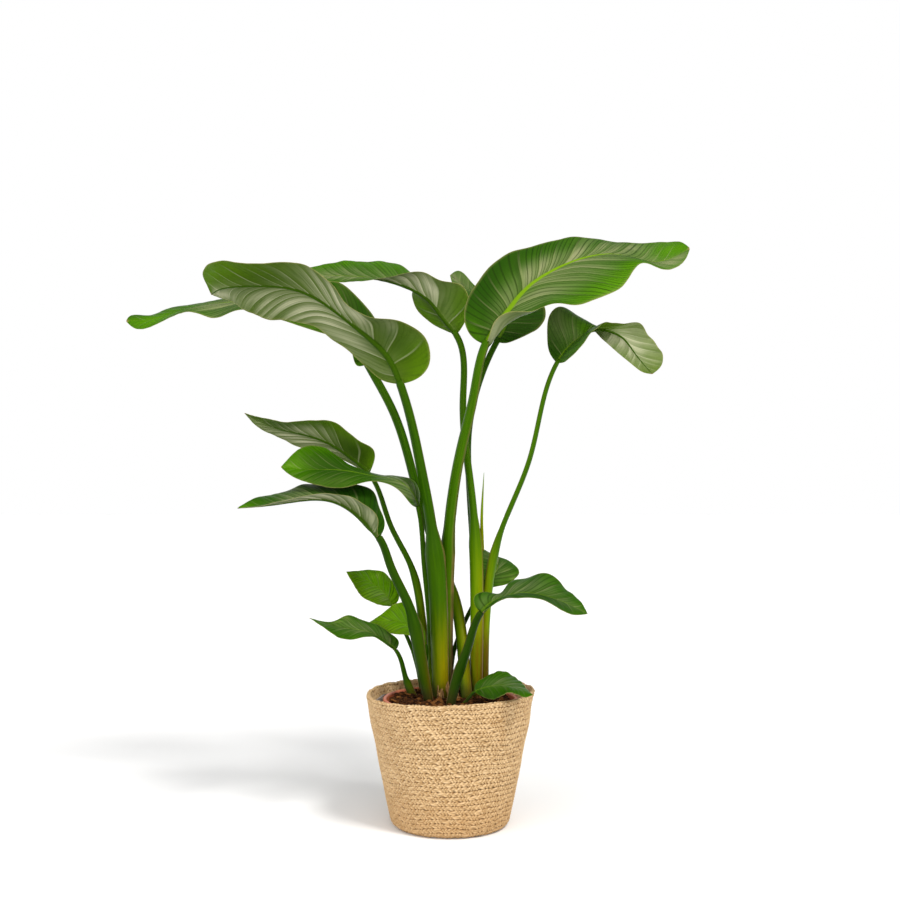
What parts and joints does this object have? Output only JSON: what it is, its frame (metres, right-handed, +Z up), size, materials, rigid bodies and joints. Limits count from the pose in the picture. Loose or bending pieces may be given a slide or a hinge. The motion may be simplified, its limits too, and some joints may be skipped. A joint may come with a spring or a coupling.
{
  "type": "potted plant",
  "caption": "Potted bird of paradise with broad paddle leaves on long stalks, growing in a plastic nursery pot that stands in a lined, braided natural-fibre basket.",
  "frame": {"origin": "centre of the basket's flat underside, on the floor", "axes": "+Z up along the basket's axis; +X to the right and -Y towards the viewer of the plant's widest side"},
  "size_m": [0.8231, 0.3791, 0.8419],
  "materials": {
    "basket": "matte",
    "basket_liner": "satin",
    "nursery_pot": "satin",
    "soil": "matte",
    "tall_left_leaf": "semi-gloss",
    "tall_left_stem": "semi-gloss",
    "far_left_leaf": "semi-gloss",
    "far_left_stem": "semi-gloss",
    "middle_back_leaf": "semi-gloss",
    "middle_back_stem": "semi-gloss",
    "rear_leaf": "semi-gloss",
    "rear_stem": "semi-gloss",
    "tall_right_leaf": "semi-gloss",
    "tall_right_stem": "semi-gloss",
    "outer_right_leaf": "semi-gloss",
    "outer_right_stem": "semi-gloss",
    "upper_side_leaf": "semi-gloss",
    "upper_side_stem": "semi-gloss",
    "middle_side_leaf": "semi-gloss",
    "middle_side_stem": "semi-gloss",
    "lower_side_leaf": "semi-gloss",
    "lower_side_stem": "semi-gloss",
    "small_upper_left_leaf": "semi-gloss",
    "small_upper_left_stem": "semi-gloss",
    "small_left_leaf": "semi-gloss",
    "small_left_stem": "semi-gloss",
    "low_left_leaf": "semi-gloss",
    "low_left_stem": "semi-gloss",
    "low_right_leaf": "semi-gloss",
    "low_right_stem": "semi-gloss",
    "small_rear_leaf": "semi-gloss",
    "small_rear_stem": "semi-gloss",
    "rim_leaf": "semi-gloss",
    "rim_stem": "semi-gloss",
    "new_leaf_spear": "semi-gloss",
    "cut_stub": "matte",
    "dried_sheath": "matte"
  },
  "bodies": {
    "root": {"basket": "basket", "basket_liner": "basket_liner", "nursery_pot": "nursery_pot", "soil": "soil", "tall_left_leaf": "tall_left_leaf", "tall_left_stem": "tall_left_stem", "far_left_leaf": "far_left_leaf", "far_left_stem": "far_left_stem", "middle_back_leaf": "middle_back_leaf", "middle_back_stem": "middle_back_stem", "rear_leaf": "rear_leaf", "rear_stem": "rear_stem", "tall_right_leaf": "tall_right_leaf", "tall_right_stem": "tall_right_stem", "outer_right_leaf": "outer_right_leaf", "outer_right_stem": "outer_right_stem", "upper_side_leaf": "upper_side_leaf", "upper_side_stem": "upper_side_stem", "middle_side_leaf": "middle_side_leaf", "middle_side_stem": "middle_side_stem", "lower_side_leaf": "lower_side_leaf", "lower_side_stem": "lower_side_stem", "small_upper_left_leaf": "small_upper_left_leaf", "small_upper_left_stem": "small_upper_left_stem", "small_left_leaf": "small_left_leaf", "small_left_stem": "small_left_stem", "low_left_leaf": "low_left_leaf", "low_left_stem": "low_left_stem", "low_right_leaf": "low_right_leaf", "low_right_stem": "low_right_stem", "small_rear_leaf": "small_rear_leaf", "small_rear_stem": "small_rear_stem", "rim_leaf": "rim_leaf", "rim_stem": "rim_stem", "new_leaf_spear": "new_leaf_spear", "cut_stub": "cut_stub", "dried_sheath": "dried_sheath"}
  },
  "joints": []
}
